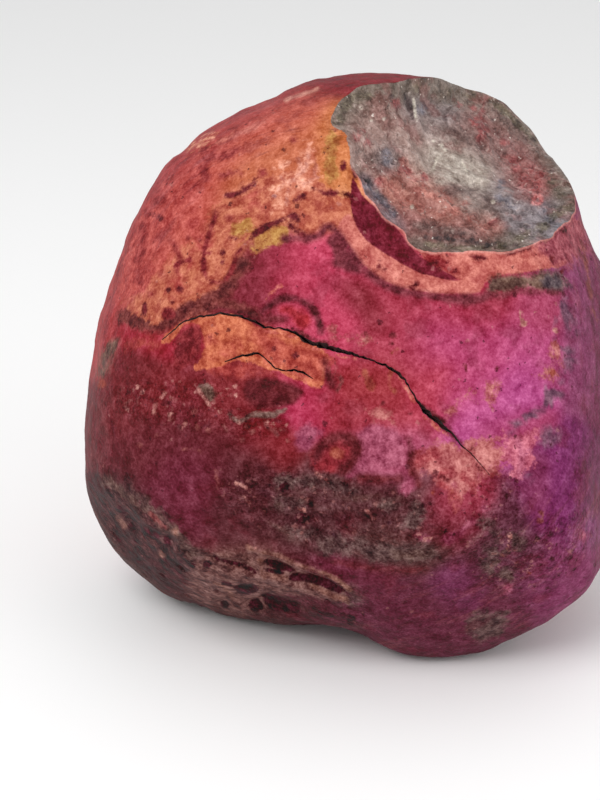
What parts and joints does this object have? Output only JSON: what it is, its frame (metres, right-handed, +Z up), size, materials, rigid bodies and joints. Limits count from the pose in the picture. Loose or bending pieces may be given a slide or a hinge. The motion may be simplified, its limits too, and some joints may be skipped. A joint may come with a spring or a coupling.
{
  "type": "agate geode",
  "caption": "Whole dyed agate geode: a lopsided fist-sized boulder with a crack across its face, a broken window high on the right and a worn flat underneath to rest on.",
  "frame": {"origin": "on the floor, under the middle of the stone's bounding box", "axes": "+Z up, -Y out of the face with the crack, +X to the right of that face, towards the chip"},
  "size_m": [0.1088, 0.102, 0.1058],
  "materials": {
    "dyed_agate": "dry, finely pitted rind dyed crimson, magenta and orange, with a glassy grey broken face"
  },
  "bodies": {
    "root": {"geode": "dyed_agate"}
  },
  "joints": []
}
